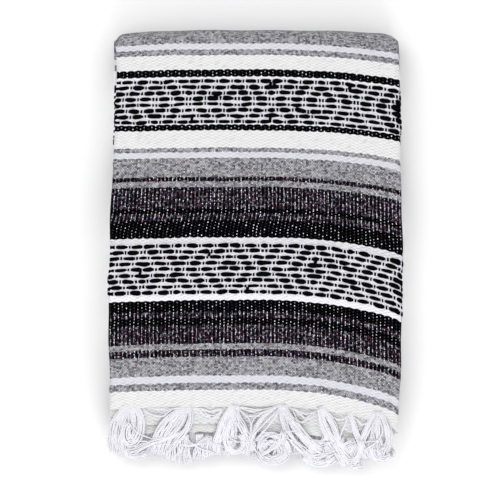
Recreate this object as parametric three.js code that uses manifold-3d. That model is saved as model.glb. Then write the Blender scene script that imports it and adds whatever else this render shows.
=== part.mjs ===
// A woven serape, folded in quarters both ways and laid flat: sixteen layers of cloth, with the fringed
// ends on top at the front and one smooth fold round the whole stack at the back.
// Millimetres, +Z up, front (fringe) towards -Y, origin at the middle of the base.

import * as THREE from 'three';
import { mergeVertices } from 'three/addons/utils/BufferGeometryUtils.js';
import Module from 'manifold-3d';

const wasm = await Module();
wasm.setup();

// The cloth and its folds.
const WOVEN_WIDTH = 1270;
const FOLDED_WIDTH = WOVEN_WIDTH / 4;
const HALF_WIDTH = FOLDED_WIDTH / 2;
const LAYER = 2.75;                          // one layer of cloth with the air that it holds
const GAP = 0.3;
const CLOTH = LAYER - GAP;                   // the wall itself
const PACKET = 4 * LAYER;                    // the width folded in four
const HALF_STACK = 2 * PACKET;
const STACK = 2 * HALF_STACK;

// The plan, front to back.
const BACK_TANGENT_Y = 224.5;                // where the back fold leaves the flat top
const BACK_REACH = 15.5;                     // how far the fold stands out behind that
const UPPER_EDGE_Y = -170;                   // woven edge of the upper packet
const LOWER_EDGE_Y = -198;                   // woven edge of the packet nested inside it
const CREASE_Y = -184;                       // the lower front crease turns about this line
const CREASE_REACH = 10;
const TUCK = 14;                             // the outer layer is made this far in above the crease
const FRINGE_TIP_Y = -240;
const FRINGE_TIP_Z = 7;
const FRINGE_LOBE = 10;                      // the tips run in and out by this much
const TASSELS = 7;
const FRINGE_GAP = 1;                        // between the fringes, and from each to its woven edge

// The sides.
const RIGHT_CURL_REACH = 8;                  // the fold of a packet at the right
const CORNER = 14;                           // rounding of the two back corners
const LEFT_TAPER = 6;                        // each side draws in towards the back fold
const RIGHT_TAPER = 3;
const TAPER_START_Y = -20;
const UPPER_FRONT_TAPER = 4;                 // and each packet draws in at its front right corner
const LOWER_FRONT_TAPER = 10;
const LOWER_RUN = 60;                        // how far its top layer is made, in under the upper packet

const ease = (t) => {
  const k = THREE.MathUtils.clamp(t, 0, 1);
  return k * k * (3 - 2 * k);
};

// The weft sags to the right, more at the front than at the back.
function sag(x) {
  const u = x / HALF_WIDTH;
  return u > 0 ? 22 * u ** 2.2 : 1.5 * u ** 2;
}

// A place in the folded cloth: x across, depth in from the outside of the stack, and a station along it.
// A station gives y and z for a depth, how far the sides draw in, and how much of the sag it follows.
function place(station, x, depth) {
  const [y, z] = station.at(depth);
  const taper = ease((y - TAPER_START_Y) / (BACK_TANGENT_Y - TAPER_START_Y));
  const draw = x > 0 ? RIGHT_TAPER * taper : LEFT_TAPER * taper;
  const side = HALF_WIDTH - draw - station.inset(depth, x);
  const across = x * side / HALF_WIDTH;
  return new THREE.Vector3(across, y - station.sag * sag(across), z);
}

const flat = (y, zOf, sagShare = 0, taper = 0) => ({
  at: (depth) => [y, zOf(depth)],
  inset: (depth, x) => (x > 0 ? taper * sagShare : 0),
  sag: sagShare,
});

const edgeY = (wovenEdgeY, x) => wovenEdgeY - sag(x);

const range = (from, to, steps) => Array.from({ length: steps + 1 }, (_, i) => from + (to - from) * i / steps);

// The top, from the woven edge back. The sag of the edge and its taper fade out over a length behind it.
function topStations(frontY, backY, steps, fade, taper) {
  return range(frontY, backY, steps).map((y) => {
    const share = 1 - ease((y - frontY) / fade);
    return flat(y, (depth) => STACK - depth, share, taper);
  });
}

// Round the back fold, where every layer is nested in the one outside it.
function backFoldStations(steps) {
  return range(0, Math.PI, steps).slice(1).map((turn) => ({
    at: (depth) => {
      const share = 1 - depth / HALF_STACK;
      const y = BACK_TANGENT_Y + BACK_REACH * share * Math.sin(turn);
      return [y, HALF_STACK + (HALF_STACK - depth) * Math.cos(turn)];
    },
    inset: (depth) => CORNER * (1 - depth / HALF_STACK) * (1.02 - Math.hypot(Math.cos(turn), 0.2)),
    sag: 0,
  }));
}

function undersideStations(backY, frontY, steps) {
  return range(backY, frontY, steps).slice(1).map((y) => flat(y, (depth) => depth));
}

// Round the front crease of the two lower packets, and back in between the layers.
function creaseStations(steps) {
  return range(0, Math.PI, steps).slice(1).map((turn) => ({
    at: (depth) => {
      const share = 1 - depth / PACKET;
      return [CREASE_Y - CREASE_REACH * share * Math.sin(turn), PACKET - (PACKET - depth) * Math.cos(turn)];
    },
    inset: () => 3 * Math.sin(turn),
    sag: 0,
  }));
}

function solid(points, triangles) {
  const shape = new THREE.BufferGeometry();
  shape.setAttribute('position', new THREE.Float32BufferAttribute(points.flatMap((p) => p.toArray()), 3));
  shape.setIndex(triangles);
  return shape;
}

// A closed skin over a row of rings. Each ring runs out along one face of a wall and back along the
// other, so that each end of the row is closed by a strip from face to face.
function skin(rings) {
  const count = rings[0].length;
  const triangles = [];
  const quad = (a, b, c, d) => triangles.push(a, b, c, a, c, d);
  for (let i = 0; i < rings.length - 1; i += 1) {
    for (let j = 0; j < count; j += 1) {
      const a = i * count + j;
      const b = i * count + (j + 1) % count;
      quad(a, b, b + count, a + count);
    }
  }
  const last = (rings.length - 1) * count;
  for (let i = 0; i < count / 2 - 1; i += 1) {
    const back = count - 1 - i;
    quad(i, back, back - 1, i + 1);
    quad(last + i, last + i + 1, last + back - 1, last + back);
  }
  return solid(rings.flat(), triangles);
}

const sweep = (ring, stations) => skin(stations.map((s) => ring.map(([x, depth]) => place(s, x, depth))));

// One layer across the packet: a selvedge at the left, and at the right the fold that turns it under.
function layerRing(depth, grow = 0) {
  const foldX = HALF_WIDTH - RIGHT_CURL_REACH;
  const tail = 4;
  const middle = depth + PACKET / 2 - GAP;
  const outer = PACKET / 2 - GAP + grow;
  const inner = outer - CLOTH - 2 * grow;
  const reach = RIGHT_CURL_REACH + grow;
  const innerReach = reach - CLOTH - 2 * grow;
  const turns = range(-Math.PI / 2, Math.PI / 2, 8);
  const left = -HALF_WIDTH - grow;
  const across = range(left + 0.8, foldX, 9);
  const ring = [[left, middle - outer + 0.8], ...across.map((x) => [x, middle - outer])];
  ring.push(...turns.slice(1).map((t) => [foldX + reach * Math.cos(t), middle + outer * Math.sin(t)]));
  ring.push([foldX - tail - grow, middle + outer]);
  ring.push([foldX - tail - grow, middle + inner]);
  ring.push(...turns.reverse().map((t) => [foldX + innerReach * Math.cos(t), middle + inner * Math.sin(t)]));
  ring.push(...across.slice(0, -1).reverse().map((x) => [x, middle - inner]));
  ring.push([left, middle - inner - 0.8]);
  return ring;
}

const betweenPackets = (y) => flat(y, (depth) => HALF_STACK - depth);
const outerRun = [
  ...topStations(UPPER_EDGE_Y, BACK_TANGENT_Y, 9, 120, UPPER_FRONT_TAPER),
  ...backFoldStations(10),
  ...undersideStations(BACK_TANGENT_Y, CREASE_Y, 8),
  ...creaseStations(8),
  betweenPackets(CREASE_Y + TUCK),
];
const lowerRun = topStations(LOWER_EDGE_Y, LOWER_EDGE_Y + LOWER_RUN, 4, LOWER_RUN, LOWER_FRONT_TAPER);

function toManifold(geometry) {
  const merged = mergeVertices(geometry, 1e-4);
  const index = Array.from(merged.index.array);
  const kept = [];
  for (let i = 0; i < index.length; i += 3) {
    const [a, b, c] = index.slice(i, i + 3);
    if (a !== b && b !== c && c !== a) {
      kept.push(a, b, c);
    }
  }
  const vertProperties = new Float32Array(merged.attributes.position.array);
  return new wasm.Manifold(new wasm.Mesh({ numProp: 3, vertProperties, triVerts: new Uint32Array(kept) }));
}

function fromManifold(body) {
  const mesh = body.getMesh();
  const shape = new THREE.BufferGeometry();
  shape.setAttribute('position', new THREE.BufferAttribute(new Float32Array(mesh.vertProperties), 3));
  shape.setIndex(Array.from(mesh.triVerts));
  return shape;
}

// How far each layer's side stands out, for a depth into the stack. A crease is a wide bulge over two
// layers, a selvedge a small one over a single layer, and a packet's fold at the right goes over four.
const bulge = (depth, from, layers, reach) => {
  const t = (depth - from) / (layers * LAYER) * 2 - 1;
  return reach * Math.sqrt(Math.max(0, 1 - t * t));
};

function leftSide(depth) {
  const layer = Math.min(7, Math.floor(depth / LAYER + 1e-6));
  const base = [3.2, 1.6, 4.2, 4.2, 4.8, 4.8, 2.4, 3.4][layer];
  const creases = { 2: 2, 3: 2, 4: 4, 5: 4 };
  if (layer in creases) {
    return -HALF_WIDTH + base - bulge(depth, creases[layer] * LAYER, 2, 3);
  }
  return -HALF_WIDTH + base - bulge(depth, layer * LAYER, 1, 1);
}

function rightSide(depth) {
  const foldX = HALF_WIDTH - RIGHT_CURL_REACH;
  if (depth < PACKET) {
    const inFold = depth > LAYER && depth < 3 * LAYER;
    return foldX - 3 + (inFold ? 3 + bulge(depth, LAYER, 2, RIGHT_CURL_REACH - LAYER) : 0);
  }
  return foldX - 2 + bulge(depth, PACKET, 4, RIGHT_CURL_REACH);
}

// The hidden layers: a block in the shape of the folded stack, whose two sides are layered.
function hiddenStack() {
  const runs = [
    ...range(LOWER_EDGE_Y - 15, BACK_TANGENT_Y, 6).map((y) => flat(y, (depth) => STACK - depth)),
    ...backFoldStations(8),
    ...undersideStations(BACK_TANGENT_Y, LOWER_EDGE_Y - 15, 6),
  ];
  const depths = range(LAYER, HALF_STACK, 28);
  const columns = 2 * depths.length;
  const points = runs.flatMap((station) => [
    ...depths.map((depth) => place(station, leftSide(depth), depth)).reverse(),
    ...depths.map((depth) => place(station, rightSide(depth), depth)),
  ]);
  const triangles = [];
  for (let i = 0; i < runs.length - 1; i += 1) {
    for (let j = 0; j < columns - 1; j += 1) {
      const a = i * columns + j;
      triangles.push(a, a + 1, a + 1 + columns, a, a + 1 + columns, a + columns);
    }
  }
  const front = (base, flip) => {
    for (let k = 0; k < depths.length - 1; k += 1) {
      const left = base + depths.length - 1 - k;
      const right = base + depths.length + k;
      const quad = [left, left - 1, right + 1, left, right + 1, right];
      triangles.push(...(flip ? quad.reverse() : quad));
    }
  };
  front(0, false);
  front((runs.length - 1) * columns, true);
  return toManifold(solid(points, triangles));
}

// What of the stack is kept at the front: the crease at the bottom, then the cut ends of the layers.
function frontProfile() {
  const profile = new THREE.Shape();
  const behind = BACK_TANGENT_Y + 2 * BACK_REACH;
  const end = (y, fromZ, layers) => {
    for (let i = 0; i < layers; i += 1) {
      const z = fromZ + i * LAYER;
      const stagger = 1.2 * Math.sin(2.3 * z);
      profile.lineTo(y + 0.7 + stagger, z);
      profile.lineTo(y + stagger, z + 0.3 * LAYER);
      profile.lineTo(y + stagger, z + 0.7 * LAYER);
      profile.lineTo(y + 0.7 + stagger, z + LAYER);
    }
  };
  profile.moveTo(behind, -GAP);
  profile.lineTo(CREASE_Y, -GAP);
  profile.absellipse(CREASE_Y, PACKET, CREASE_REACH - LAYER, PACKET - LAYER, -Math.PI / 2, -1.5 * Math.PI, true);
  profile.lineTo(CREASE_Y, HALF_STACK + GAP);
  end(LOWER_EDGE_Y + 1, HALF_STACK + GAP, 3);
  profile.lineTo(UPPER_EDGE_Y + 3, STACK - PACKET);
  end(UPPER_EDGE_Y + 1, STACK - PACKET + GAP, 3);
  profile.lineTo(behind, STACK);
  return profile;
}

function foldedLayers() {
  const wide = 2 * FOLDED_WIDTH;
  const keep = new THREE.ExtrudeGeometry(frontProfile(), { depth: wide, bevelEnabled: false, curveSegments: 12 });
  keep.deleteAttribute('normal');
  keep.deleteAttribute('uv');
  keep.applyMatrix4(new THREE.Matrix4().makeBasis(
    new THREE.Vector3(0, 1, 0),
    new THREE.Vector3(0, 0, 1),
    new THREE.Vector3(1, 0, 0),
  ));
  keep.translate(-wide / 2, 0, 0);
  const tuckEnd = betweenPackets(CREASE_Y + TUCK + GAP);
  const runEnd = flat(LOWER_EDGE_Y + LOWER_RUN + GAP, (depth) => STACK - depth);
  const clearOuter = toManifold(sweep(layerRing(0, GAP), [...outerRun, tuckEnd]));
  const clearLower = toManifold(sweep(layerRing(PACKET, GAP), [...lowerRun, runEnd]));
  const cut = hiddenStack().intersect(toManifold(keep)).subtract(clearOuter).subtract(clearLower);
  const [largest] = cut.decompose().sort((a, b) => b.volume() - a.volume());
  return fromManifold(largest);
}

// The drape of the fringes, as the share of the way from the lower woven edge to the tips.
const lowerFringeTop = (t) => FRINGE_TIP_Z + (STACK - PACKET - FRINGE_TIP_Z) * Math.cos(t * Math.PI / 2);
const lowerFringeBase = (t) => lowerFringeTop(t) - THREE.MathUtils.lerp(PACKET - GAP, FRINGE_TIP_Z, t);
const upperFringeBase = (t) => lowerFringeTop(Math.max(0, t)) + FRINGE_GAP;
const upperFringeTop = (t) => upperFringeBase(t) + THREE.MathUtils.lerp(PACKET - 2 * GAP, 4, (t + 1) / 2);

// A fringe is a plain solid of its reach, out from a woven edge to a lobed line of tassel ends.
// Shares below 0 lie on the cloth, back to the upper woven edge.
function fringe(shares, top, base) {
  const columns = 6 * TASSELS;
  const left = -HALF_WIDTH + 1;
  const right = HALF_WIDTH - LOWER_FRONT_TAPER - 2;
  const rings = range(left, right, columns).map((x, j) => {
    const lobe = 0.5 + 0.5 * Math.cos(j / columns * TASSELS * 2 * Math.PI);
    const tip = FRINGE_TIP_Y + FRINGE_LOBE * lobe;
    const edge = edgeY(LOWER_EDGE_Y, x) - FRINGE_GAP;
    const lift = edgeY(UPPER_EDGE_Y, x) - FRINGE_GAP - edge;
    const alongY = (t) => (t < 0 ? edge - t * lift : edge + t * (tip - edge));
    const upper = shares.map((t) => new THREE.Vector3(x, alongY(t), top(t)));
    const lower = shares.map((t) => new THREE.Vector3(x, alongY(t), base(t)));
    return [...upper, ...lower.reverse()];
  });
  return skin(rings);
}

const woven = new THREE.MeshStandardMaterial({ color: 0x8b8b92, roughness: 0.95, metalness: 0 });
const white = new THREE.MeshStandardMaterial({ color: 0xe4e4e6, roughness: 0.95, metalness: 0 });

const serape = new THREE.Group();

function addPiece(name, geometry, material) {
  const mesh = new THREE.Mesh(geometry, material.clone());
  mesh.name = name;
  serape.add(mesh);
}

addPiece('outer_layer', sweep(layerRing(0), outerRun), woven);
addPiece('under_layer', sweep(layerRing(PACKET), lowerRun), white);
addPiece('folded_layers', foldedLayers(), woven);
addPiece('upper_fringe', fringe([-1, ...range(0, 1, 5)], upperFringeTop, upperFringeBase), white);
addPiece('lower_fringe', fringe(range(0, 1, 5), lowerFringeTop, lowerFringeBase), white);

export default serape;
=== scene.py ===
import math

import bpy
import numpy as np
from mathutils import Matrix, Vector


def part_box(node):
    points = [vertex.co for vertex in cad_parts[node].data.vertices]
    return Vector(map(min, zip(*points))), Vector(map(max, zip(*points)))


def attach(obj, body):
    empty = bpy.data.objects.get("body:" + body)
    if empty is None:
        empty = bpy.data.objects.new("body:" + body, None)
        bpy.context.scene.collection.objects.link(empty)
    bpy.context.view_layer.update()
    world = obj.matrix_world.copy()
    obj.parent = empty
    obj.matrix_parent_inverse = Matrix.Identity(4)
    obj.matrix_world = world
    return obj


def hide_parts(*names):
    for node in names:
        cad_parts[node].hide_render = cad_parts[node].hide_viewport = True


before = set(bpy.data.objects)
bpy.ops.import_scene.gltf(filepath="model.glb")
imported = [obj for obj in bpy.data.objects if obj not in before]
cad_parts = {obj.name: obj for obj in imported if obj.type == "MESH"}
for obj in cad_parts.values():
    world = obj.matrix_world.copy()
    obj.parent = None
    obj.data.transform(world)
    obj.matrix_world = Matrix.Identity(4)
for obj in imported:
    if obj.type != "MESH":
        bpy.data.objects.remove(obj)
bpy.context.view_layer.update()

bpy.ops.object.select_all(action="DESELECT")

# ---------------------------------------------------------------------------------------------------
# The woven cloth. One length off the loom, cotton warp and thick acrylic and cotton weft, with a
# selvedge down each long side. It is folded in four across its width, which makes a packet of four
# layers, and the packet is folded in four along its length, so sixteen layers lie on each other.

outer_low, outer_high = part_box("outer_layer")
half_width = (outer_high[0] - outer_low[0]) / 2
stack = outer_high[2] - outer_low[2]
half_stack = stack / 2
packet = stack / 4
cloth_thickness = 0.0023

fringe_gap = 0.001                                             # between a fringe's box and the woven edge
upper_edge_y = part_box("upper_fringe")[1][1] + fringe_gap       # where the cloth starts, on top
lower_edge_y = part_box("lower_fringe")[1][1] + fringe_gap       # where it ends, inside the fold
back_reach = 0.0155
back_y = outer_high[1] - back_reach                            # where the back fold leaves the flat top
crease_reach = 0.010
crease_y = outer_low[1] + crease_reach                         # the lower front crease turns about this line
curl_reach = 0.008                                             # the fold of a packet at the right
corner = 0.014                                                 # rounding of the two back corners
fold_x = half_width - curl_reach

warp_gap = 0.00424                                             # from one warp to the next
pick_gap = 0.00157                                             # from one weft pick to the next

right_sag, left_sag = 0.0255, 0.0034                           # how far the weft hangs at each side
pressed_flat, pressed_over = 0.0032, 0.032                     # the packet thins out at its woven edge


def ease(t):
    k = np.clip(t, 0, 1)
    return k * k * (3 - 2 * k)


def sag(x):
    """The weft hangs towards the front at the right, and very slightly at the left."""
    u = x / half_width
    over_the_edge = 0.0022 * ease((u - 0.93) / 0.09)
    return np.where(u > 0, right_sag * np.abs(u) ** 2.3 + over_the_edge, left_sag * np.abs(u) ** 2.6)


def lie(turn, depth):
    """Where a layer lies, as y, z and the draw of its sides, for a turn along the folded packet.
    0 to 1 is the top, 1 to 2 the back fold, 2 to 3 the underside, 3 to 4 the front crease, 4 to 5
    the run back inside it, 5 to 6 the inner back fold, and 6 to 7 the lower woven end."""
    turn, depth = np.broadcast_arrays(np.asarray(turn, float), np.asarray(depth, float))
    leg = np.clip(np.floor(turn), 0, 6)
    part = turn - leg
    swing = np.pi * part
    nest = 1 - depth / half_stack
    inner = depth / half_stack
    tuck = 1 - depth / packet
    run = [upper_edge_y, back_y, crease_y, lower_edge_y]
    y = np.select(
        [leg == 0, leg == 1, leg == 2, leg == 3, leg == 4, leg == 5],
        [
            run[0] + (run[1] - run[0]) * part,
            run[1] + back_reach * nest * np.sin(swing),
            run[1] + (run[2] - run[1]) * part,
            run[2] - crease_reach * tuck * np.sin(swing),
            run[2] + (run[1] - run[2]) * part,
            run[1] + back_reach * inner * np.sin(swing),
        ],
        run[1] + (run[3] - run[1]) * part,
    )
    z = np.select(
        [leg == 0, leg == 1, leg == 2, leg == 3, leg == 4, leg == 5],
        [
            stack - depth,
            half_stack + (half_stack - depth) * np.cos(swing),
            depth,
            packet - (packet - depth) * np.cos(swing),
            half_stack - depth,
            half_stack - depth * np.cos(swing),
        ],
        half_stack + depth,
    )
    flatter = pressed_flat * tuck * (1 - ease((y - upper_edge_y) / pressed_over))
    z = z - np.where(leg == 0, flatter, 0.0)
    draw = np.select(
        [leg == 1, leg == 3],
        [corner * nest * (1.02 - np.hypot(np.cos(swing), 0.2)), 0.003 * np.sin(swing)],
        0.0,
    )
    return y, z, draw


def turns_for(along, depth):
    """The turn at each length along the cloth, measured from its upper woven edge at this depth."""
    fine = np.linspace(-0.15, 7.15, 1800)
    y, z, _ = lie(fine, depth)
    length = np.concatenate([[0], np.cumsum(np.hypot(np.diff(y), np.diff(z)))])
    length -= np.interp(0, fine, length)
    return np.interp(along, length, fine)


def length_at(turn, depth):
    fine = np.linspace(0, turn, 1200)
    y, z, _ = lie(fine, depth)
    return float(np.sum(np.hypot(np.diff(y), np.diff(z))))


def sides_at(x, y, turn, draw):
    """Each side of the stack draws in towards the back fold, the left one more, and most on top."""
    to_back = ease((y + 0.02) / (back_y + 0.02))
    to_front = 1 - ease((y - lower_edge_y) / 0.12)
    dip = 0.0018 * np.exp(-(((y - 0.089) / 0.026) ** 2))       # where the left side goes in a little
    left_taper = np.interp(turn, [1.0, 2.0], [0.0084, 0.0050]) * to_back + dip
    front_taper = np.interp(turn, [1.4, 1.5, 5.4, 5.5], [0.004, 0.006, 0.006, 0.010])
    right_taper = 0.003 * to_back + front_taper * to_front
    side = half_width - np.where(x > 0, right_taper, left_taper) - draw
    return x * side / half_width


def ripple(x, y):
    """The soft unevenness of heavy cloth that lies flat."""
    return (
        0.00045 * np.sin(31 * x + 17 * y + 0.6)
        + 0.0004 * np.sin(47 * y - 13 * x + 2.1)
        + 0.0003 * np.sin(83 * x + 61 * y + 4.0)
    )


def place(x, depth, turn):
    """The point of the folded cloth at x across, depth into the packet and turn along it."""
    y, z, draw = lie(turn, depth)
    y_out, z_out, _ = lie(turn, depth - 0.001)
    away = np.hypot(y_out - y, z_out - z) + 1e-12
    wave = ripple(x, y) * np.clip(z / 0.01, 0, 1)
    across = sides_at(x, y, turn, draw)
    bow = (x / half_width) ** 2 * (0.0015 * ease((y - 0.12) / 0.1) + 0.0021 * ease((y - 0.21) / 0.03))
    wander = 0.0006 * np.sin(41 * y + 1.3) + 0.0004 * np.sin(97 * y + 40 * z)
    return np.stack(
        [across + wander, y - bow + wave * (y_out - y) / away, z + wave * (z_out - z) / away], -1
    )


def mesh_piece(name, points, faces, corner_uv=None):
    """A smooth mesh. corner_uv has a place for each corner of each face, in order."""
    mesh = bpy.data.meshes.new(name)
    mesh.from_pydata(points.tolist(), [], faces)
    if corner_uv is not None:
        mesh.uv_layers.new(name="weave").data.foreach_set("uv", corner_uv.astype(np.float32).ravel())
    mesh.polygons.foreach_set("use_smooth", [True] * len(mesh.polygons))
    mesh.update()
    piece = bpy.data.objects.new(name, mesh)
    bpy.context.scene.collection.objects.link(piece)
    return piece


def grid_faces(rows, columns):
    a = (np.arange(rows - 1)[:, None] * columns + np.arange(columns - 1)[None, :]).ravel()
    return np.stack([a, a + 1, a + 1 + columns, a + columns], -1)


def apply_step(piece, kind, **settings):
    """Adds one modifier and applies it."""
    step = piece.modifiers.new(kind.title(), kind)
    for name, value in settings.items():
        setattr(step, name, value)
    bpy.ops.object.select_all(action="DESELECT")
    bpy.context.view_layer.objects.active = piece
    piece.select_set(True)
    bpy.ops.object.modifier_apply(modifier=step.name)
    piece.select_set(False)


def semicircle(x, reach, from_depth, to_depth, steps):
    turn = np.linspace(-math.pi / 2, math.pi / 2, steps)
    middle, half = (from_depth + to_depth) / 2, (to_depth - from_depth) / 2
    return np.stack([x + reach * np.cos(turn), middle + half * np.sin(turn)], -1)


def straight(start, end, depth, steps):
    return np.stack([np.linspace(start, end, steps), np.full(steps, depth)], -1)


# The lines that the cloth takes across the packet, as x and depth. The outer line goes over the top
# and round the fold at the right, and the inner one goes on from there in a zigzag to the selvedge.
half_thick = cloth_thickness / 2
tail = packet - 0.0006                                         # depth of the outermost layer's way back
third, second = 0.0069, 0.0041                                 # depths of the two layers in between
left_turn_x = -half_width + 0.003
right_turn_x = half_width - 0.012
turn_reach = 0.0016
flat_steps, fold_steps = 61, 14
outer_line = np.concatenate([
    straight(-half_width, fold_x, 0.0, flat_steps),
    semicircle(fold_x, curl_reach, 0.0, tail, fold_steps)[1:],
    straight(fold_x - 0.002, fold_x - 0.004, tail, 2),
])
inner_line = np.concatenate([
    straight(fold_x - 0.005, left_turn_x, tail - half_thick, 12),
    semicircle(left_turn_x, -turn_reach, tail - half_thick, third, 7)[1:-1],
    straight(left_turn_x, right_turn_x, third, 12),
    semicircle(right_turn_x, turn_reach, third, second, 7)[1:-1],
    straight(right_turn_x, -half_width + turn_reach, second, 12),
])

# All four layers in one line, at the middle of the cloth's thickness.
whole_line = np.concatenate([outer_line + [0, half_thick], inner_line])
fold_end = flat_steps + fold_steps
whole_line[flat_steps:fold_end, 1] -= half_thick * np.linspace(1, 2, fold_steps)
whole_line[fold_end:fold_end + 2, 1] = tail - half_thick


def line_length(line):
    return np.concatenate([[0], np.cumsum(np.hypot(*np.diff(line, axis=0).T))])


outer_warps = line_length(outer_line) / warp_gap
inner_warps = line_length(inner_line) / warp_gap + outer_warps[-1]
middle_depth = packet / 2
woven_length = length_at(7, middle_depth)
plain_end = 0.012                                              # the lower end starts with more cream


def woven_rows(line, warps, first, last, count, depth, step_out=0.0):
    """Cloth along one line of the packet, from first to last along its length: points and uv. At the
    woven edge the lower layers step out from under the upper ones, by step_out in all. The sag of the
    weft dies away inside the fold, and comes back at the lower end."""
    rows = np.linspace(first, last, count)
    reach = np.where(warps < outer_warps[-1], warps * warp_gap - half_width, line[:, 0])
    drop = sag(np.clip(reach, -half_width, 1.1 * half_width))[None, :]
    from_start = 1 - 0.62 * ease(rows / 0.40) - 0.38 * ease((rows - 0.42) / 0.3)
    from_end = 1 - ease((woven_length - rows) / 0.12)
    near_edge = (1 - ease(rows / 0.06))[:, None]
    stepped = step_out * (line[None, :, 1] / packet) * near_edge
    turns = turns_for(rows[:, None] - stepped - drop * (from_start - from_end)[:, None], depth)
    points = place(line[None, :, 0], line[None, :, 1], turns)
    picks = np.minimum(rows, woven_length - rows - plain_end) / pick_gap
    uv = np.stack(np.broadcast_arrays(warps[None, :], picks[:, None]), -1)
    return points, uv


def cloth_piece(name, parts, offset):
    """Joins lengths of cloth in one mesh and gives it its thickness."""
    points, faces, uvs, base = [], [], [], 0
    for part, uv in parts:
        quads = grid_faces(*part.shape[:2])
        points.append(part.reshape(-1, 3))
        faces.append(quads + base)
        uvs.append(uv.reshape(-1, 2)[quads.ravel()])
        base += part.shape[0] * part.shape[1]
    piece = mesh_piece(name, np.concatenate(points), np.concatenate(faces).tolist(), np.concatenate(uvs))
    apply_step(piece, "SOLIDIFY", thickness=cloth_thickness, offset=offset)
    return piece


outer_length = length_at(4, 0) + 0.013                         # to just inside the front crease
outer_points, outer_uv = woven_rows(outer_line, outer_warps, 0, outer_length, count=420, depth=0.0)
outer_cloth = cloth_piece("outer_cloth", [(outer_points, outer_uv)], -1)


def linear(*levels):
    """A dye's colour, from the 0 to 255 levels of a colour card."""
    return tuple(((v / 255 + 0.055) / 1.055) ** 2.4 if v > 10 else v / 255 / 12.92 for v in levels) + (1.0,)


class Thread:
    """A value in a material, which can be added, multiplied and so on like a number."""

    def __init__(self, tree, socket=None):
        self.tree = tree
        self.socket = socket

    def node(self, kind, settings=None, sockets=None, out=0):
        made = self.tree.nodes.new(kind)
        for name, value in (settings or {}).items():
            if name == "stops":
                ramp = made.color_ramp
                ramp.interpolation = settings.get("interpolation", "LINEAR")
                while len(ramp.elements) < len(value):
                    ramp.elements.new(1.0)
                for stop, (place_on, colour) in zip(ramp.elements, value):
                    stop.position = place_on
                    stop.color = colour
            elif name != "interpolation":
                setattr(made, name, value)
        for name, value in (sockets or {}).items():
            if isinstance(value, Thread):
                self.tree.links.new(value.socket, made.inputs[name])
            else:
                made.inputs[name].default_value = value
        return Thread(self.tree, made.outputs[out])

    def maths(self, operation, *values):
        return self.node("ShaderNodeMath", {"operation": operation}, dict(enumerate(values)))

    def __add__(self, other):
        return self.maths("ADD", self, other)

    def __sub__(self, other):
        return self.maths("SUBTRACT", self, other)

    def __mul__(self, other):
        return self.maths("MULTIPLY", self, other)

    def __truediv__(self, other):
        return self.maths("DIVIDE", self, other)

    def __mod__(self, other):
        return self.maths("FLOORED_MODULO", self, other)

    def __gt__(self, other):
        return self.maths("GREATER_THAN", self, other)

    def __lt__(self, other):
        return self.maths("LESS_THAN", self, other)

    def __rsub__(self, other):
        return self.maths("SUBTRACT", other, self)

    def __rmul__(self, other):
        return self.maths("MULTIPLY", other, self)

    def __radd__(self, other):
        return self.maths("ADD", other, self)

    def __rtruediv__(self, other):
        return self.maths("DIVIDE", other, self)

    def __rmod__(self, other):
        return self.maths("FLOORED_MODULO", other, self)

    def floor(self):
        return self.maths("FLOOR", self)

    def size(self):
        return self.maths("ABSOLUTE", self)

    def cos(self):
        return self.maths("COSINE", self)

    def at_least(self, other):
        return self.maths("MAXIMUM", self, other)

    def at_most(self, other):
        return self.maths("MINIMUM", self, other)

    def rise(self, start, end):
        """0 below start and 1 past end, smooth between them."""
        return self.node(
            "ShaderNodeMapRange",
            {"interpolation_type": "SMOOTHSTEP"},
            {"Value": self, "From Min": start, "From Max": end},
        )

    def blend(self, share, first, second):
        return self.node(
            "ShaderNodeMix", {"data_type": "RGBA"}, {0: share, 6: first, 7: second}, out=2
        )

    def point(self, x, y, z=0.0):
        return self.node("ShaderNodeCombineXYZ", None, {"X": x, "Y": y, "Z": z})

    def mottle(self, place_on, scale, detail=2.0):
        return self.node("ShaderNodeTexNoise", None, {"Vector": place_on, "Scale": scale, "Detail": detail})

    def chance(self, place_on):
        return self.node("ShaderNodeTexWhiteNoise", {"noise_dimensions": "3D"}, {"Vector": place_on})


def new_material(name):
    material = bpy.data.materials.new(name)
    material.use_nodes = True
    surface = material.node_tree.nodes["Principled BSDF"]
    return material, Thread(material.node_tree), surface


# The weaver's chart: how many picks of each weft, from the woven edge up. The first four stripes are
# the end of the cloth, and the rest is repeated along it.
white, cream, grey = linear(224, 223, 231), linear(237, 237, 237), linear(150, 149, 155)
black, fleck = linear(2, 2, 3), linear(34, 31, 37)
ground = linear(248, 247, 253)[:3]
nine_rows, eight_rows = (*ground, 0.9), (*ground, 0.5)         # white, with the pattern woven in
speckled = (*ground, 0.8)                                      # white, with dark fibre spun in it
end_stripes = [(11, cream), (5, grey), (5, white), (13, grey)]
dark_block = [
    (5, fleck), (4, grey), (13, fleck), (5, black), (4, fleck), (9, black),
    (39, nine_rows), (4, speckled),
    (11, black), (5, fleck), (4, black), (14, fleck), (4, grey), (4, fleck),
]
light_block = [
    (12, grey), (4, white), (4, grey), (11, cream), (4, black),
    (34, eight_rows),
    (5, black), (9, cream), (5, grey), (4, white), (17, grey),
]
end_picks = sum(picks for picks, _ in end_stripes)
repeat_picks = sum(picks for picks, _ in dark_block + light_block)
chart_picks = end_picks + repeat_picks


def stripe_starts():
    """Each stripe's weft, and the pick that it starts on."""
    start = 0
    for picks, weft in end_stripes + dark_block + light_block:
        yield weft, start, picks
        start += picks


def chart_stops(value_of):
    """Stops for a ramp over the whole chart, one for each stripe."""
    return [(start / chart_picks, value_of(weft)) for weft, start, _ in stripe_starts()]


def grain_of(weft):
    """Red is how heathered a weft is, green how flecked, and blue is 1 where it is dark."""
    heathered = {grey: 1.0, speckled: 0.22}.get(weft, 0.0)
    return (heathered, float(weft == fleck), float(weft in (black, fleck)), 1.0)


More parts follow.
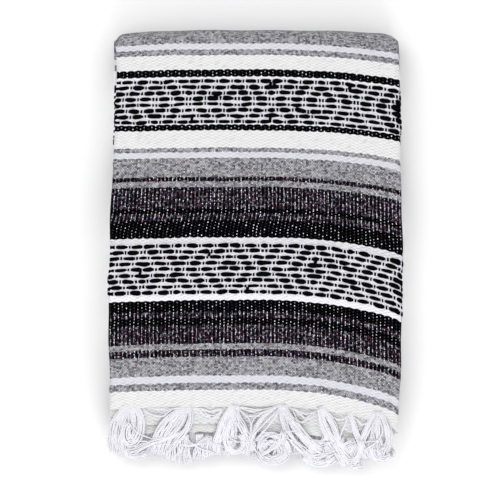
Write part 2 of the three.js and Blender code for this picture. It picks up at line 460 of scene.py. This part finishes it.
# The pattern. In a patterned stripe every fourth pick is a thick black one, in a point twill over two
# warps and under two. The twill turns back every few warps, and in the middle row, which makes lozenges.
# Each stripe has its number of rows, the warp of its first point, how far along the twill its middle
# row starts, and the pick that its first row is on.
row_picks = 4
point_warps = 22                                               # from one point of the twill to the next
turn_back = 9.0                                                # from a point to where the twill turns back
patterns = {
    nine_rows: {"rows": 9, "first_point": 8, "lead": 2.0, "first_pick": 5.6},
    eight_rows: {"rows": 8, "first_point": 10, "lead": 0.5, "first_pick": 2.9},
}


def weave_material(name, drawn_from):
    """The cloth. From the pick drawn_from on, the black pattern picks are drawn in it too."""
    material, thread, surface = new_material(name)
    uv = thread.node("ShaderNodeUVMap", {"uv_map": "weave"})
    warp = thread.node("ShaderNodeSeparateXYZ", None, {0: uv}, out=0)
    pick = thread.node("ShaderNodeSeparateXYZ", None, {0: uv}, out=1)
    wander = thread.mottle(thread.point(warp * 0.11, pick * 0.03), 1.0) - 0.5
    pick = pick + wander * 1.4
    warp = warp + (thread.mottle(thread.point(warp * 0.7, pick * 0.35, 5.0), 1.0) - 0.5) * 0.5

    # Behind the first patterned stripe the warps lean to the right for a few picks.
    warp = warp - pick.rise(117.0, 137.0) * (1 - warp.rise(40.0, 70.0)) * 1.3

    # Which pick is on top here: one that floats over the warp swells over its neighbours.
    row = pick.floor()
    part = pick - row
    swing = ((warp - 0.5 + row) * math.pi).cos()
    pinch = (0 - swing).at_least(0) * 0.2
    above = part > 1 - pinch
    below = part < pinch
    mine = row + above - below
    float_up = swing * (1 - 2 * (above + below))
    rib = (pick - mine - 0.5) / (float_up * 0.3 + 0.5)
    swell = (1 - rib * rib).at_least(0) * (float_up * 0.42 + 0.58)

    # A warp shows as a dot where it crosses over a pick.
    column = warp.floor()
    luck = thread.chance(thread.point(column, row, 3.0))
    off_u = (warp - column - 0.5) / (luck * 0.08 + 0.065)
    off_v = (part - 0.5) / (luck * 0.25 + 0.28)
    over_pick = ((column + row) % 2.0) > 0.5
    dot = (off_u * off_u + off_v * off_v).rise(1.25, 0.5)

    # The chart.
    past_end = (mine + 0.5 - end_picks).at_least(0)
    charted = (mine + 0.5).at_most(end_picks) + past_end % float(repeat_picks)
    stripe = thread.node(
        "ShaderNodeValToRGB",
        {"interpolation": "CONSTANT", "stops": chart_stops(lambda weft: weft)},
        {0: charted / chart_picks},
    )
    grain = thread.node(
        "ShaderNodeValToRGB",
        {"interpolation": "CONSTANT", "stops": chart_stops(grain_of)},
        {0: charted / chart_picks},
    )
    heathered = thread.node("ShaderNodeSeparateColor", None, {0: grain}, out=0)
    flecked = thread.node("ShaderNodeSeparateColor", None, {0: grain}, out=1)
    dark = thread.node("ShaderNodeSeparateColor", None, {0: grain}, out=2)

    # Grey yarn is spun from light and dark fibre. The flecked one has bits of many colours in it.
    spun = thread.mottle(thread.point(warp * 4.0, mine * 3.7, 1.0), 1.0, 3.0).rise(0.3, 0.7)
    knot = thread.chance(thread.point((warp * 1.5 + 0.5).floor(), mine, 11.0))
    heather = thread.blend(spun * 0.3 + knot * 0.7, linear(34, 33, 40), linear(208, 207, 214))
    bits = thread.mottle(thread.point(warp * 1.1, mine * 5.3, 9.0), 1.0, 1.0)
    fleck_colour = thread.node(
        "ShaderNodeValToRGB",
        {
            "interpolation": "CONSTANT",
            "stops": [
                (0.0, linear(70, 66, 78)), (0.36, linear(78, 28, 42)), (0.40, linear(8, 6, 11)),
                (0.555, linear(34, 34, 60)), (0.585, linear(9, 8, 12)), (0.65, linear(126, 122, 134)),
            ],
        },
        {0: bits},
    )
    colour = thread.blend(heathered, stripe, heather)
    colour = thread.blend(flecked, colour, fleck_colour)
    # Painted shade: each pick's colour is darkened where it dips under the warps between its swells, more in
    # grey and dark stripes, on top of the bump.
    depth_of_shade = heathered * 0.22 + dark * 0.35 + 0.15
    shade = 1 - (1 - swell.rise(0.0, 0.7)) * depth_of_shade
    colour = thread.node(
        "ShaderNodeMix",
        {"data_type": "RGBA", "blend_type": "MULTIPLY"},
        {0: 1.0, 6: colour, 7: thread.point(shade, shade, shade)},
        out=2,
    )
    bright = thread.chance(thread.point(row, column, 7.0))
    even = bright.rise(0.30, 0.90).at_least(heathered * 0.62)
    glint = thread.blend(even, linear(62, 61, 68), linear(248, 247, 255))
    sunk = thread.blend(bright * bright * (flecked * 0.8 + 0.2), linear(56, 54, 62), linear(244, 242, 248))
    seen = over_pick.at_least(heathered).at_least(flecked * 0.95) * (dark * 0.9 + heathered * 0.8 + 0.1)
    colour = thread.blend(dot * seen, colour, thread.blend(over_pick, sunk, glint))

    # White yarn is twisted loosely, and the grooves of its turns are painted as faint slanting lines of
    # shade.
    slant = thread.mottle(thread.point(warp * 0.45, (pick - warp * 1.26) * 1.1, 2.0), 1.0, 3.0)
    line_shade = 1 - slant.rise(0.50, 0.70) * (1 - dark) * 0.20
    colour = thread.node(
        "ShaderNodeMix",
        {"data_type": "RGBA", "blend_type": "MULTIPLY"},
        {0: 1.0, 6: colour, 7: thread.point(line_shade, line_shade, line_shade)},
        out=2,
    )

    # The pattern picks, drawn by the same rule that the yarn follows.
    for weft, rule in patterns.items():
        start = next(first for mark, first, _ in stripe_starts() if mark == weft)
        step = (charted - start - rule["first_pick"] + row_picks / 2) / row_picks
        line = step.floor()
        from_point = (warp.floor() - rule["first_point"]) % float(point_warps)
        turned = (from_point - turn_back).size() - turn_back
        lead = (line - (rule["rows"] - 1) / 2).size() + rule["lead"]
        over = ((turned - lead) % 4.0) < 2.0
        tie = (warp - column - 0.5).size() > 0.17
        in_row = ((step - line - 0.5).size() < 0.24) * (line > -0.5) * (line < rule["rows"] - 0.5)
        shown = in_row * over.at_least(tie) * (pick > float(drawn_from))
        colour = thread.blend(shown, colour, black)

    # The relief: each pick is a rib, with the twist of its yarn along it and the warps' dots on it.
    twist = ((warp * 9.0 + pick) * (2 * math.pi)).cos() * 0.05
    height = (swell + twist).at_least(dot * 1.05)
    bump = thread.node("ShaderNodeBump", None, {"Height": height, "Distance": 0.0009, "Strength": 0.6})
    thread.tree.links.new(colour.socket, surface.inputs["Base Color"])
    thread.tree.links.new(bump.socket, surface.inputs["Normal"])
    surface.inputs["Roughness"].default_value = 0.92
    surface.inputs["Specular IOR Level"].default_value = 0.03
    return material


picks_on_top = 252                                             # up to here the pattern is real yarn
outer_cloth.data.materials.append(weave_material("woven_stripes", picks_on_top))
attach(outer_cloth, "root")
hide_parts("outer_layer")

# ---------------------------------------------------------------------------------------------------
# The hidden layers. The same cloth goes on inside the fold, three layers under the outer one and four
# in the packet nested in it, and shows only as stripes of layers at the sides and the front.

inner_end = length_at(6.72, middle_depth)
outer_goes_in = length_at(4, middle_depth)
hidden_cloth = cloth_piece(
    "hidden_cloth",
    [
        woven_rows(inner_line, inner_warps, 0.0, inner_end, 150, middle_depth, step_out=0.022),
        woven_rows(outer_line + [0, half_thick], outer_warps, outer_goes_in, inner_end, 90, middle_depth),
    ],
    0,
)
hidden_cloth.data.materials.append(weave_material("woven_stripes_inside", 0))
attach(hidden_cloth, "root")
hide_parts("folded_layers")

# ---------------------------------------------------------------------------------------------------
# The lower woven end. The last of the length, in its four layers, which runs out under the upper end
# and shows as a plain cream step between the tassels.

whole_warps = np.concatenate([outer_warps, inner_warps])
clear = 0.0005                                                 # from the end of the hidden cloth
under_cloth = cloth_piece(
    "under_cloth",
    [woven_rows(whole_line, whole_warps, inner_end + clear, woven_length, 60, middle_depth)],
    0,
)
under_cloth.data.materials.append(hidden_cloth.data.materials[0])
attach(under_cloth, "root")
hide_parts("under_layer")

# ---------------------------------------------------------------------------------------------------
# The pattern picks. Thick soft black yarn, thrown by hand on every fourth pick of a patterned stripe.
# It swells where it floats over two warps, and is pinched flat where one warp ties it down.

across_way = np.gradient(outer_points, axis=1)
along_way = np.gradient(outer_points, axis=0)
outward = np.cross(across_way, along_way)
outward /= np.linalg.norm(outward, axis=-1, keepdims=True)
along_way = along_way / np.linalg.norm(along_way, axis=-1, keepdims=True)


def sample(grid, warps, picks):
    """Reads a grid of the outer cloth at places given in warps and picks."""
    column = np.clip(np.interp(warps, outer_warps, np.arange(len(outer_warps))), 0, grid.shape[1] - 1.001)
    row = np.clip(picks * pick_gap / outer_length * (grid.shape[0] - 1), 0, grid.shape[0] - 1.001)
    i, j = row.astype(int), column.astype(int)
    s, t = (row - i)[..., None], (column - j)[..., None]
    upper = grid[i, j] * (1 - t) + grid[i, j + 1] * t
    lower = grid[i + 1, j] * (1 - t) + grid[i + 1, j + 1] * t
    return upper * (1 - s) + lower * s


def tubes(name, centres, sideways, upward, radius_side, radius_up, sides):
    """Many closed lengths of yarn in one mesh. centres is (yarn, ring, 3), and each ring is an oval."""
    count, rings = centres.shape[:2]
    angle = np.arange(sides) * 2 * math.pi / sides
    ring_points = (
        centres[:, :, None]
        + sideways[:, :, None] * (radius_side[:, :, None] * np.cos(angle))[..., None]
        + upward[:, :, None] * (radius_up[:, :, None] * np.sin(angle))[..., None]
    )
    shell = ring_points.reshape(count, rings * sides, 3)
    points = np.concatenate([shell, centres[:, :1], centres[:, -1:]], axis=1)
    stride = rings * sides + 2
    i, j = np.meshgrid(np.arange(rings - 1), np.arange(sides), indexing="ij")
    i, j = i.ravel(), j.ravel()
    k = (j + 1) % sides
    quads = np.stack([i * sides + j, i * sides + k, (i + 1) * sides + k, (i + 1) * sides + j], -1)
    ring = np.arange(sides)
    after = (ring + 1) % sides
    start_cap = np.stack([after, ring, np.full(sides, rings * sides)], -1)
    last = (rings - 1) * sides
    end_cap = np.stack([last + ring, last + after, np.full(sides, rings * sides + 1)], -1)
    base = (np.arange(count) * stride)[:, None, None]
    caps = np.concatenate([start_cap, end_cap]) + base
    faces = (quads + base).reshape(-1, 4).tolist() + caps.reshape(-1, 3).tolist()
    ring_gaps = np.linalg.norm(np.diff(centres, axis=1), axis=-1)
    length = np.concatenate([np.zeros((count, 1)), np.cumsum(ring_gaps, axis=1)], axis=1)
    round_it = np.stack([j, j + 1, j + 1, j], -1) / sides
    round_all = np.broadcast_to(round_it, (count, *round_it.shape))
    along_it = np.stack([i, i, i + 1, i + 1], -1)
    quad_uv = np.stack([round_all, length[:, along_it]], -1).reshape(-1, 2)
    start_round, end_round = np.stack([ring + 1, ring, ring], -1), np.stack([ring, ring + 1, ring], -1)
    cap_round = np.concatenate([start_round, end_round]) / sides
    cap_uv = np.stack([np.tile(cap_round, (count, 1, 1)), np.zeros((count, 2 * sides, 3))], -1).reshape(-1, 2)
    return mesh_piece(name, points.reshape(-1, 3), faces, np.concatenate([quad_uv, cap_uv]))


def yarn_material(name, light, shade_and_dark_tone, plies, pitch):
    """Spun yarn: its plies wind round it, with painted shade in the grooves between them, and its colour is a
    little uneven.
    """
    material, thread, surface = new_material(name)
    uv = thread.node("ShaderNodeUVMap", {"uv_map": "weave"})
    around = thread.node("ShaderNodeSeparateXYZ", None, {0: uv}, out=0)
    length = thread.node("ShaderNodeSeparateXYZ", None, {0: uv}, out=1)
    wind = ((around * float(plies) + length / pitch) * (2 * math.pi)).cos()
    spot = thread.node("ShaderNodeTexCoord", None, None, out=3)
    fluff = thread.mottle(spot, 900.0, 3.0)
    # Painted shade: the colour darkens in the grooves between the winding plies, and unevenly at random with
    # the fluff.
    ply_shade_and_tone = (wind * 0.22 + fluff * 1.3 - 0.15).rise(0.0, 1.0)
    colour = thread.blend(ply_shade_and_tone, shade_and_dark_tone, light)
    bump = thread.node(
        "ShaderNodeBump", None, {"Height": wind * 0.5 + fluff * 1.2, "Distance": 0.0004, "Strength": 0.7}
    )
    thread.tree.links.new(colour.socket, surface.inputs["Base Color"])
    thread.tree.links.new(bump.socket, surface.inputs["Normal"])
    surface.inputs["Roughness"].default_value = 0.95
    surface.inputs["Specular IOR Level"].default_value = 0.03
    return material


chance = np.random.default_rng(11)
yarn_rows, tie_places = [], []
for weft, rule in patterns.items():
    first = next(start for mark, start, _ in stripe_starts() if mark == weft)
    for row in range(rule["rows"]):
        pick_of_row = first + rule["first_pick"] + row * row_picks
        warp_numbers = np.arange(int(outer_warps[-1]) - 2)
        turned = np.abs((warp_numbers - rule["first_point"]) % point_warps - turn_back) - turn_back
        lead = rule["lead"] + abs(row - (rule["rows"] - 1) / 2)
        tied = (turned - lead) % 4 >= 2
        yarn_rows.append((pick_of_row, tied))
        beside = np.roll(tied, -1).astype(int) - np.roll(tied, 1).astype(int)
        inside = warp_numbers[tied & (warp_numbers > 0)]
        tie_places += [(pick_of_row, warp, 0.11 * beside[warp]) for warp in inside]

float_half_wide, float_half_high = 0.00225, 0.00085            # of the yarn where it floats
steps_a_warp = 6
yarn_warps = np.arange(0, len(yarn_rows[0][1]) * steps_a_warp + 1) / steps_a_warp
fold_warp = 71                                                 # the yarn bunches where the cloth folds over
all_sides, all_up, all_centres, wide, high = [], [], [], [], []


def uneven(every, values):
    """Values given every so many warps, joined up along the yarn."""
    return np.interp(yarn_warps, every * np.arange(len(values)), values)


for pick_of_row, tied in yarn_rows:
    at_picks = pick_of_row + uneven(3, chance.normal(0, 0.20, 30)) + uneven(1.5, chance.normal(0, 0.12, 60))
    # 1 where a warp ties the yarn down, and 0 half a warp away
    nearest = np.clip(np.floor(yarn_warps).astype(int), 0, len(tied) - 1)
    off = np.abs(yarn_warps - nearest - 0.5)
    down = np.where(tied[nearest], np.clip(1 - (off / 0.5) ** 1.4, 0, 1), 0.0)
    left, right = tied[np.clip(nearest - 1, 0, None)], tied[np.clip(nearest + 1, 0, len(tied) - 1)]
    into = yarn_warps - nearest
    soft = np.where(~tied[nearest] & left, np.clip(1 - into / 0.7, 0, 1), 0)
    soft = np.maximum(soft, np.where(~tied[nearest] & right, np.clip(1 - (1 - into) / 0.7, 0, 1), 0))
    plump = uneven(1.3, chance.uniform(0.80, 1.25, 70)) * chance.uniform(0.88, 1.08)
    pinched = np.where(tied[nearest], 0.80 - 0.22 * down, 1.0)
    half_wide = float_half_wide * plump * (1 - 0.08 * soft) * pinched
    half_high = float_half_high * np.where(tied[nearest], 0.8 - 0.3 * down, 1.0)
    half_wide *= 1 + 0.3 * ease((yarn_warps - fold_warp) / 3)
    half_wide[[0, -1]] *= 0.5
    up = sample(outward, yarn_warps, at_picks)
    centre = sample(outer_points, yarn_warps, at_picks) + up * (0.0007 - 0.0006 * down)[:, None]
    all_centres.append(centre)
    all_up.append(up)
    all_sides.append(sample(along_way, yarn_warps, at_picks))
    wide.append(half_wide)
    high.append(half_high)
pattern_yarn = tubes(
    "pattern_yarn", *(np.array(rows) for rows in (all_centres, all_sides, all_up, wide, high)), 8
)
black_yarn = yarn_material("black_yarn", linear(9, 9, 11), linear(1, 1, 2), 2, 0.004)
pattern_yarn.data.materials.append(black_yarn)
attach(pattern_yarn, "root")

# The warps that tie the pattern picks down, each a short white thread over the black yarn.
tie_half_wide = 0.00056
tie_pick, tie_warp, tie_drawn = np.array(tie_places, float).T
tie_lean = chance.normal(0.02, 0.07, len(tie_pick))
tie_run = np.linspace(-1, 1, 6)
tie_bow = 1 - tie_run ** 2
tie_middle = tie_warp + 0.5 + tie_drawn + chance.normal(0, 0.04, len(tie_pick))
at_warp = tie_middle[:, None] + tie_lean[:, None] * tie_run
at_pick = tie_pick[:, None] + tie_run * 1.7
tie_up = sample(outward, at_warp, at_pick)
tie_centres = sample(outer_points, at_warp, at_pick) + tie_up * (0.0014 * tie_bow - 0.0002)[None, :, None]
tie_side = np.cross(sample(along_way, at_warp, at_pick), tie_up)
tie_wide = tie_half_wide * chance.uniform(0.7, 1.25, len(tie_pick))[:, None] * (0.6 + 0.4 * tie_bow)
warp_ties = tubes("warp_ties", tie_centres, tie_side, tie_up, tie_wide, tie_wide * 0.8, 6)
white_yarn = yarn_material("white_yarn", linear(250, 249, 253), linear(218, 217, 226), 2, 0.003)
warp_ties.data.materials.append(white_yarn)
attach(warp_ties, "root")

# The black yarn turns at the left selvedge and goes back in on the next row, in loops of many sizes.
turn_rows = [row for row, _ in yarn_rows]
loops = []
for here, there in zip(turn_rows[:-1], turn_rows[1:]):
    same_stripe = there - here <= row_picks + 1
    if not same_stripe or chance.uniform() < 0.5:
        continue
    t = np.linspace(0, 1, 12)
    out = chance.uniform(-0.0020, -0.0004) * np.sin(math.pi * t) ** 0.6
    loop_picks = here + (there - here) * t
    loop_warps = 0.35 - 0.55 * np.sin(math.pi * t) ** 0.5
    edge_points = sample(outer_points, np.clip(loop_warps, 0, None), loop_picks)
    edge_points[:, 0] -= out
    edge_points[:, 2] += 0.0006 - 0.0030 * np.sin(math.pi * t)
    loops.append(edge_points)


def strands(name, lines, thick, sides=4):
    """Loose lengths of yarn along lines in space."""
    ahead = np.gradient(lines, axis=1)
    ahead /= np.linalg.norm(ahead, axis=-1, keepdims=True)
    aside = np.cross(ahead, [0.05, 0.25, 0.97])
    aside /= np.linalg.norm(aside, axis=-1, keepdims=True)
    over = np.cross(aside, ahead)
    radius = thick[:, None] * np.ones(lines.shape[1])
    radius[:, [0, -1]] *= 0.6
    return tubes(name, lines, -aside, over, radius, radius, sides)


# In a few places the yarn has jumped a pick inside the cloth, and joins two rows.
row_of = {
    weft: start + patterns[weft]["first_pick"] for weft, start, _ in stripe_starts() if weft in patterns
}
for mark, row, warp in [
    (nine_rows, 3, 8.0), (nine_rows, 6, 25.4), (nine_rows, 0, 35.5), (nine_rows, 5, 52.6),
    (eight_rows, 0, 20.4), (eight_rows, 0, 41.1), (eight_rows, 6, 41.2), (eight_rows, 6, 42.2),
    (eight_rows, 6, 61.8),
]:
    jump_picks = row_of[mark] + (row + np.linspace(0.1, 0.9, 12)) * row_picks
    jump_warps = warp + np.linspace(-0.12, 0.12, 12)
    loops.append(sample(outer_points, jump_warps, jump_picks) + [0, 0, 0.0004])

loop_radii = chance.uniform(0.0014, 0.0020, len(loops))
selvedge_turns = strands("selvedge_turns", np.array(loops), loop_radii, 8)
selvedge_turns.data.materials.append(black_yarn)
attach(selvedge_turns, "root")

# ---------------------------------------------------------------------------------------------------
# The fringes. The warps are left long at both woven ends and bunched in loose tassels, which lie over
# the front of the stack. The yarn is soft cotton that curls, so each tassel parts into flat locks of
# strands side by side, which fall, swing over each other and turn back at their ends.

tip_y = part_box("upper_fringe")[0][1]


def smooth_line(knots, steps):
    """A curve through the knots, with its points evenly spread between them."""
    ends = np.vstack([2 * knots[0] - knots[1], knots, 2 * knots[-1] - knots[-2]])
    at = np.linspace(0, len(knots) - 1, steps)
    leg = np.minimum(at.astype(int), len(knots) - 2)
    t = (at - leg)[:, None]
    before, start, stop, after = (ends[leg + i] for i in range(4))
    return start + t * (stop - before) / 2 + t ** 2 * (before - 2.5 * start + 2 * stop - after / 2) + (
        t ** 3 * (1.5 * (start - stop) + (after - before) / 2)
    )


def lock(path, count, width, lift, heights):
    """The strands of one lock. path is its middle line, in millimetres across the cloth and below the
    level of the upper woven edge. heights are those of the cloth it lies on, and lift is above them."""
    t = np.linspace(0, 1, 20)
    fine = np.linspace(0, 1, 60)
    whole = smooth_line(np.array(path, float) / 1000, len(fine))
    lines = []
    for strand in range(count):
        share = (2 * strand + 1 + chance.uniform(-0.9, 0.9)) / count - 1
        reach = 1 - chance.uniform(0, 0.06)
        line = np.stack([np.interp(t * reach, fine, whole[:, i]) for i in range(2)], -1)
        ahead = np.gradient(line, axis=0)
        ahead /= np.linalg.norm(ahead, axis=-1, keepdims=True)
        side = np.stack([-ahead[:, 1], ahead[:, 0]], -1)
        wide = width / 2000 * (0.62 + 0.38 * ease(t * 2.2) + 0.16 * t ** 2)
        curl = 0.0006 * np.sin(t * chance.uniform(5, 9) + chance.uniform(0, 6)) * ease(t * 3)
        curl += 0.0003 * np.sin(t * chance.uniform(14, 22) + chance.uniform(0, 6)) * ease(t * 3)
        line = line + side * (share * wide + curl)[:, None]
        x, below = line.T
        crown = 0.0014 * (1 - share ** 2) * ease(t * 4)
        z = np.interp(below - sag(x), *heights) + crown + lift / 1000 * ease(t * 3)
        z += chance.uniform(0, 0.0010)
        z += 0.0007 * np.sin(t * chance.uniform(4, 9) + chance.uniform(0, 6)) * t
        lines.append(np.stack([x, np.maximum(upper_edge_y - below, tip_y + 0.001), np.maximum(z, 0.001)], -1))
    return lines


# Where the upper tassels lie, over the steps of the lower layers and down past the front of the stack.
over_the_front = (
    [-0.004, 0.0, 0.008, 0.014, 0.019, 0.028, 0.040, 0.056, 0.072],
    [0.0400, 0.0400, 0.0392, 0.0374, 0.0360, 0.0350, 0.028, 0.020, 0.012],
)
upper_locks = [
    # the tassel at the left corner, with one lock that curls right round
    ([(-138, -2), (-148, 9), (-153, 20), (-156, 36), (-154, 52)], 13, 9, 0.0),
    ([(-136, -2), (-143, 13), (-146, 30), (-146, 46), (-149, 56)], 13, 9, 0.6),
    ([(-135, -2), (-134, 18), (-136, 34), (-133, 55)], 12, 10, 0.0),
    ([(-135, -2), (-127, 5), (-124, 19), (-127, 32), (-135, 41), (-141, 35), (-141, 23), (-136, 15)],
     11, 9, 1.8),
    ([(-146, 44), (-138, 53), (-127, 55), (-117, 51)], 8, 7, 1.2),
    ([(-73, 24), (-92, 33), (-113, 39), (-130, 48), (-139, 50)], 8, 6, 2.4),
    # the second tassel, which swings to the left
    ([(-76, -3), (-90, 12), (-101, 25), (-107, 38), (-114, 53)], 17, 12, 1.0),
    ([(-74, -3), (-80, 14), (-90, 27), (-98, 41), (-103, 56)], 14, 10, 1.8),
    ([(-73, -3), (-71, 12), (-76, 25), (-84, 36), (-95, 49)], 9, 6, 2.6),
    ([(-84, 41), (-66, 42), (-50, 33)], 4, 4, 2.0),
    ([(-92, 30), (-91, 46), (-94, 61)], 13, 13, 0.0),
    ([(-77, 30), (-78, 48), (-77, 64)], 16, 14, 0.6),
    ([(-61, 30), (-60, 46), (-63, 60)], 13, 12, 0.0),
    # the third, which hangs straight and turns back in a loop
    ([(-24, -3), (-34, 12), (-38, 25), (-42, 41), (-43, 54)], 13, 8, 0.6),
    ([(-22, -3), (-27, 14), (-32, 30), (-31, 43), (-23, 50), (-15, 46), (-13, 36), (-19, 29)], 10, 7, 1.8),
    ([(-21, -3), (-19, 12), (-13, 25), (-6, 38), (-4, 52)], 11, 8, 1.2),
    ([(-23, -3), (-24, 20), (-26, 36), (-30, 55)], 12, 9, 0.0),
    ([(-50, 32), (-53, 46), (-51, 56)], 11, 10, 0.4),
    ([(-9, 32), (-9, 46), (-13, 54)], 9, 9, 0.4),
    # the fourth, whose locks fall to both sides of a round bunch
    ([(29, -3), (13, 6), (3, 18), (-3, 33), (-5, 46)], 8, 5, 1.6),
    ([(30, -3), (38, 14), (50, 29), (62, 42), (75, 49)], 14, 9, 2.2),
    ([(26, -3), (31, 19), (39, 35), (52, 48), (65, 60)], 10, 7, 1.0),
    ([(7, 30), (8, 46), (12, 62)], 12, 11, 0.0),
    ([(22, 30), (26, 46), (24, 63)], 13, 12, 0.4),
    ([(0, 37), (11, 30), (24, 32), (34, 42), (34, 54), (22, 61), (9, 59), (1, 49)], 9, 8, 1.4),
    ([(8, 46), (16, 38), (26, 43), (28, 53), (18, 57), (9, 53)], 7, 6, 2.2),
    ([(3, 56), (14, 49), (26, 38), (31, 26)], 7, 5, 3.0),
    # the fifth, which swings to the right, with loops between it and the last
    ([(69, -1), (75, 22), (85, 40), (94, 55), (100, 67)], 16, 10, 1.4),
    ([(72, -1), (81, 14), (87, 27), (93, 42), (104, 57)], 9, 6, 2.4),
    ([(50, 23), (59, 36), (72, 39), (78, 29)], 6, 5, 0.6),
    ([(51, 48), (61, 55), (74, 53), (85, 46)], 8, 6, 1.0),
    ([(52, 56), (63, 63), (76, 63), (88, 55)], 10, 8, 0.4),
    ([(57, 40), (63, 53), (68, 64)], 9, 9, 0.0),
    ([(76, 40), (80, 52), (80, 63)], 9, 9, 0.0),
    ([(105, 43), (112, 47), (113, 54), (107, 59), (99, 57), (96, 48), (100, 41), (109, 38)], 8, 6, 2.0),
    ([(93, 33), (96, 52), (104, 66), (117, 64)], 12, 9, 0.6),
    ([(102, 6), (107, 22), (117, 46), (121, 58)], 9, 6, 1.4),
    ([(103, 34), (106, 52), (109, 68)], 12, 12, 0.0),
    # the tassel at the right corner
    ([(130, 4), (121, 22), (115, 38), (111, 52), (105, 64)], 11, 7, 1.4),
    ([(133, 4), (130, 28), (134, 44), (137, 58)], 14, 10, 0.6),
    ([(135, 5), (143, 22), (144, 38), (139, 52)], 11, 7, 1.4),
    ([(132, 33), (127, 48), (133, 58), (143, 56), (148, 52)], 8, 6, 1.8),
    ([(130, 4), (126, 30), (124, 46), (120, 59)], 9, 6, 0.4),
]
upper_lines = []
for path, count, width, lift in upper_locks:
    upper_lines += lock(path, count, width, lift, over_the_front)

# Warps that have come loose and lie across the tassels.
for _ in range(34):
    x0, y0 = upper_locks[chance.integers(len(upper_locks))][0][0]
    x1 = np.clip(x0 + chance.uniform(-40, 40), -150, 140)
    y1 = chance.uniform(30, 52) + float(sag(x1 / 1000)) * 400
    middle = ((x0 + x1) / 2 + chance.uniform(-14, 14), (y0 + y1) / 2 + chance.uniform(-6, 12))
    upper_lines += lock([(x0, y0), middle, (x1, y1)], 1, 2, 2.6, over_the_front)

# The last picks, which have slipped out of the woven edge and sag between the tassels: where each starts
# and stops across the cloth, and how far it drops.
for left, right, drop in [
    (-66, -34, 5), (-64, -34, 9), (-60, -36, 12), (-26, 24, 3), (-24, 22, 6), (-20, 20, 10), (-118, -80, 2),
    (-112, -84, 5), (36, 66, 6), (40, 66, 11), (76, 100, 9), (104, 126, 11), (-122, -92, 9), (40, 64, 15),
]:
    hang = drop - 400 * float(sag((left + right) / 2000))
    across = np.linspace(left, right, 5)
    slack = (0, 0.7 + chance.uniform(-0.4, 0.3), 1, 0.8 + chance.uniform(-0.4, 0.3), 0.1)
    knots = [(x, 1000 * float(sag(x / 1000)) + hang * h) for x, h in zip(across, slack)]
    upper_lines += lock(knots, 2, 1.6, 0.2, over_the_front)

thinnest, thickest = 0.00060, 0.00085                          # half the width of a strand
upper_lines = np.array(upper_lines)
upper_radii = chance.uniform(thinnest, thickest, len(upper_lines))
upper_fringe = strands("upper_fringe_strands", upper_lines, upper_radii)
fringe_yarn = yarn_material("fringe_yarn", linear(250, 249, 253), linear(229, 228, 236), 2, 0.003)
upper_fringe.data.materials.append(fringe_yarn)
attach(upper_fringe, "root")
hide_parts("upper_fringe")

# The lower fringe hangs in front of the crease, in round bunches: the middle of each, half its width and
# where its ends come to.
down_the_front = ([0.02, 0.028, 0.036, 0.050, 0.060, 0.072], [0.027, 0.027, 0.022, 0.013, 0.007, 0.003])
lower_bunches = [
    (-146, 11, 54), (-128, 11, 57), (-108, 9, 54), (-93, 9, 59), (-76, 12, 65), (-59, 8, 59),
    (-44, 9, 56), (-30, 8, 57), (-14, 9, 53), (5, 11, 61), (22, 10, 64), (41, 9, 55),
    (61, 11, 66), (79, 9, 62), (95, 9, 67), (107, 9, 70), (124, 9, 60), (139, 9, 59),
]
lower_lines = []
for middle, half, tips in lower_bunches:
    top = 1000 * float(sag(middle / 1000)) + 27
    for part in np.linspace(-1, 1, 5):
        lean = chance.uniform(-3, 3)
        path = [
            (middle + half * part, top),
            (middle + half * part * 0.95 + lean, (top + tips) / 2),
            (middle + half * part * 0.7, tips - 5 * part ** 2),
        ]
        lower_lines += lock(path, 6, half * 0.55, chance.uniform(0, 4), down_the_front)
lower_lines = np.array(lower_lines)
lower_radii = chance.uniform(thinnest, thickest, len(lower_lines))
lower_fringe = strands("lower_fringe_strands", lower_lines, lower_radii)
lower_fringe.data.materials.append(fringe_yarn)
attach(lower_fringe, "root")
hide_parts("lower_fringe")

# ---------------------------------------------------------------------------------------------------
# The floor, the light and the camera. A plain pale floor, soft light from all round with a little
# more from the upper left, and a long lens straight above.

bpy.ops.object.select_all(action="DESELECT")
bpy.ops.mesh.primitive_plane_add(size=8)
floor = bpy.context.object
floor.name = "floor"
floor_paint, _, floor_surface = new_material("pale_floor")
floor_surface.inputs["Base Color"].default_value = (0.97, 0.97, 0.97, 1)
floor_surface.inputs["Roughness"].default_value = 1.0
floor_surface.inputs["Specular IOR Level"].default_value = 0.0
floor.data.materials.append(floor_paint)

bpy.context.scene.view_settings.view_transform = "Standard"
world = bpy.data.worlds.new("studio")
bpy.context.scene.world = world
world.use_nodes = True
world.node_tree.nodes["Background"].inputs["Color"].default_value = (1, 1, 1, 1)
world.node_tree.nodes["Background"].inputs["Strength"].default_value = 0.88


def soft_box(name, place_at, width, power):
    aim = Vector((0, 0, 0.02)) - Vector(place_at)
    turn = aim.to_track_quat("-Z", "Y").to_euler()
    bpy.ops.object.light_add(type="AREA", location=place_at, rotation=turn)
    lamp = bpy.context.object
    lamp.name = name
    lamp.data.shape = "SQUARE"
    lamp.data.size = width
    lamp.data.energy = power


soft_box("key", (-0.8, 0.9, 1.8), 1.2, 9)
soft_box("fill", (0.3, -1.6, 1.0), 1.2, 12)

camera_height = 2.6
view_width = 0.5413                                            # what is taken in at the top layer
bpy.ops.object.camera_add(location=(-0.006, 0.0, camera_height), rotation=(0, 0, 0))
camera = bpy.context.object
camera.name = "camera"
camera.data.sensor_width = 36
camera.data.lens = camera.data.sensor_width * (camera_height - stack) / view_width
bpy.context.scene.camera = camera
